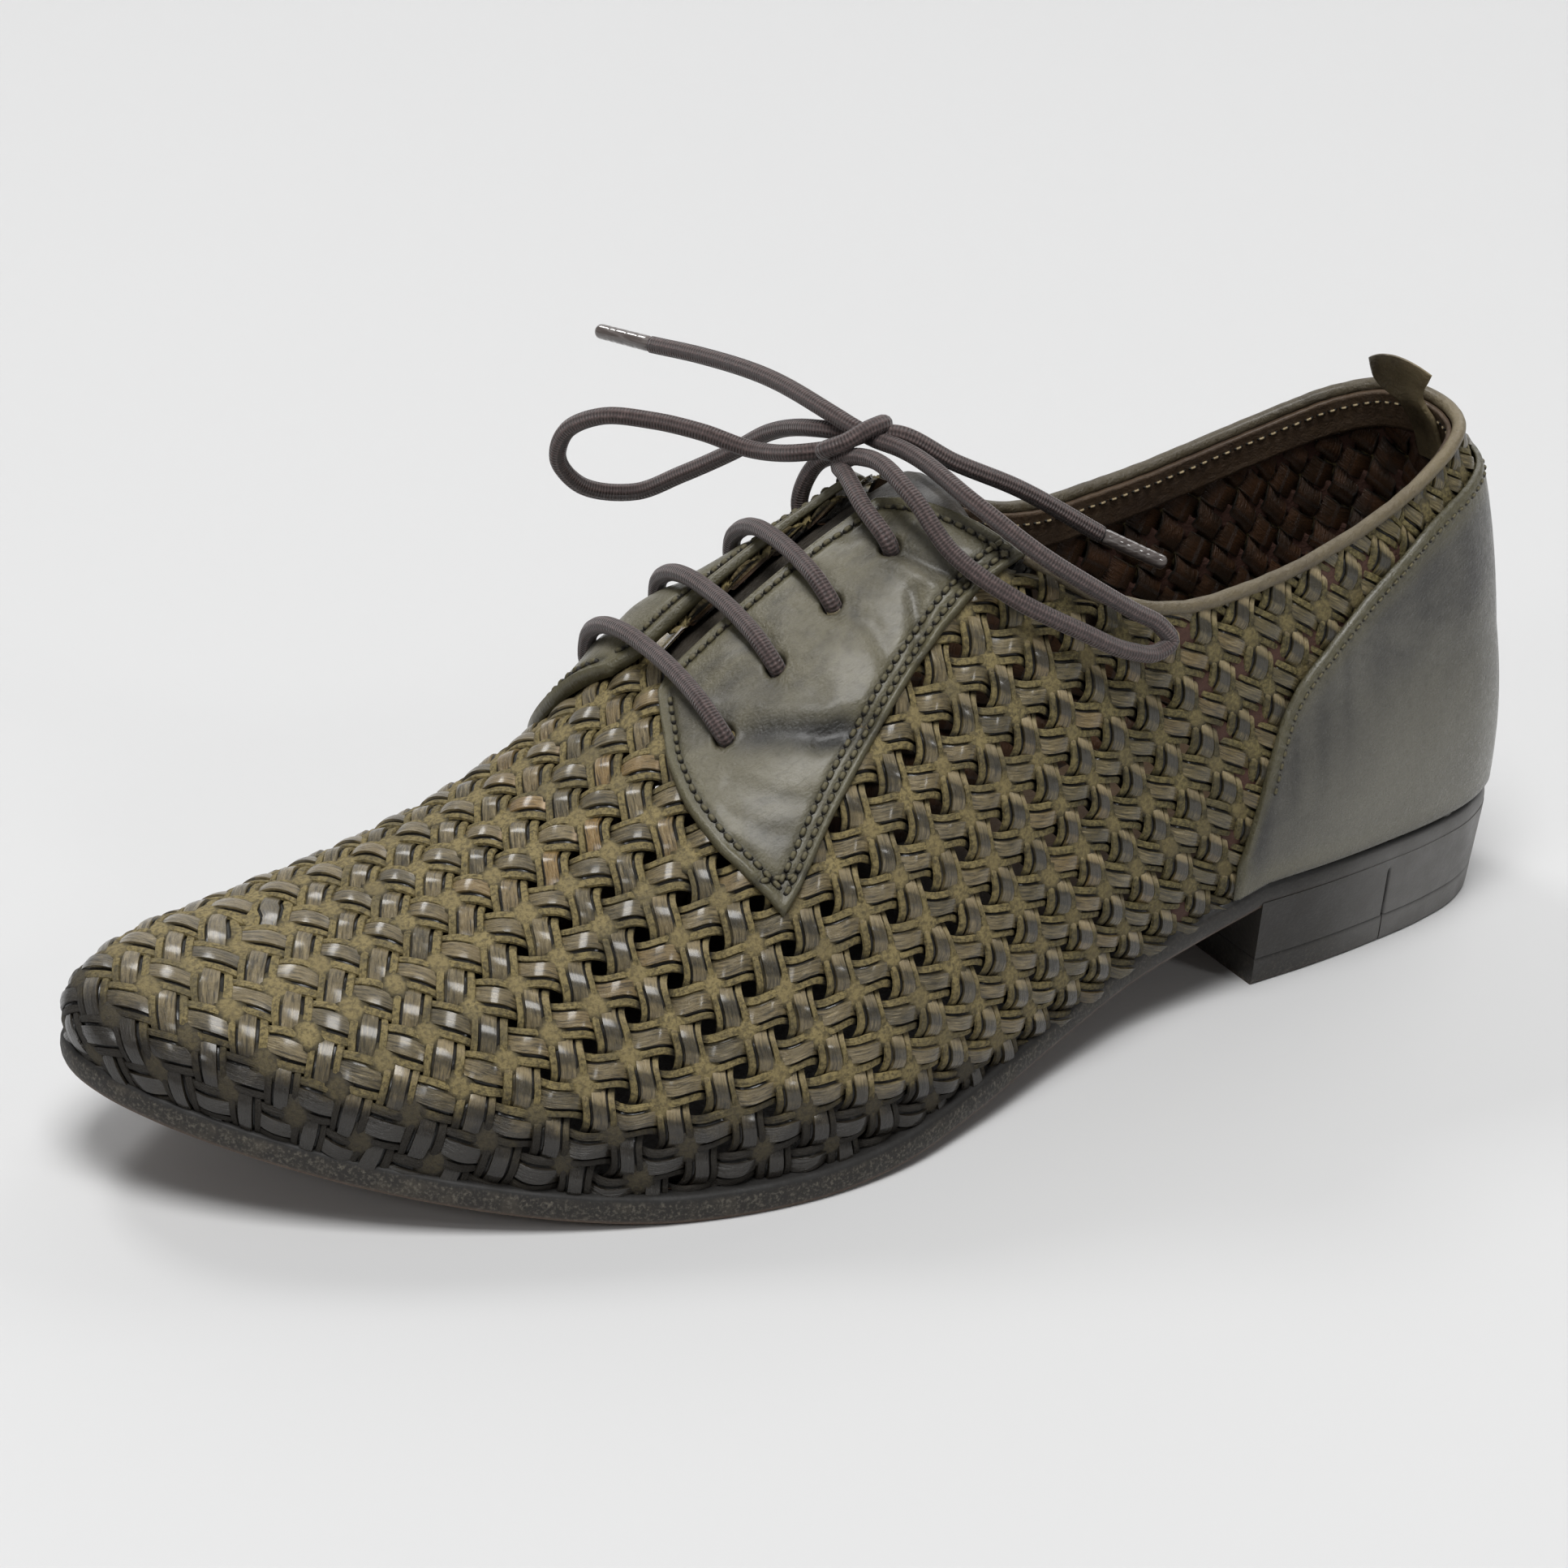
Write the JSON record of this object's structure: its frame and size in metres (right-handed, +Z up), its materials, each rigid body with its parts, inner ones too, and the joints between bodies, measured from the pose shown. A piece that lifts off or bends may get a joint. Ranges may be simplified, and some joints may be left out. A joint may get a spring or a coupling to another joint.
{
  "type": "braided leather lace-up shoe",
  "caption": "Left low lace-up shoe with a woven leather upper, smooth facings and heel counter, a thin leather sole with toe spring and a low stacked heel, tied in a bow.",
  "frame": {"origin": "on the floor, under the middle of the shoe's box measured without the bow", "axes": "+X from heel to toe, +Y towards the outer (lateral) side, +Z up"},
  "size_m": [0.2954, 0.1365, 0.1174],
  "materials": {
    "sole_leather": "waxed dark brown, worn and dusty",
    "heel_lift": "dull, worn",
    "lining_leather": "brown lining, matt",
    "woven_leather": "olive brown woven strips, ochre in the recesses, burnished near black at the toe",
    "counter_leather": "smooth grey olive, mottled, soft gloss",
    "smooth_leather": "smooth olive grey, creased, glossy",
    "binding_leather": "tan olive rolled edge",
    "lace_cord": "waxed round cord, dark purple brown",
    "aglet": "clear plastic sleeve over the cord"
  },
  "bodies": {
    "root": {"outsole": "sole_leather", "heel_stack": "sole_leather", "top_lift_rear": "heel_lift", "top_lift_front": "heel_lift", "insole": "lining_leather", "upper": "woven_leather", "tongue": "lining_leather", "heel_counter": "counter_leather", "facing_lateral": "smooth_leather", "facing_medial": "smooth_leather", "collar_binding": "binding_leather", "pull_tab": "binding_leather", "lace_bar_1": "lace_cord", "lace_bar_2": "lace_cord", "lace_bar_3": "lace_cord", "lace_riser_lateral": "lace_cord", "lace_riser_medial": "lace_cord", "lace_knot": "lace_cord", "lace_loop_front": "lace_cord", "lace_loop_rear": "lace_cord", "lace_end_front": "lace_cord", "lace_end_rear": "lace_cord", "aglet_front": "aglet", "aglet_rear": "aglet"}
  },
  "joints": []
}
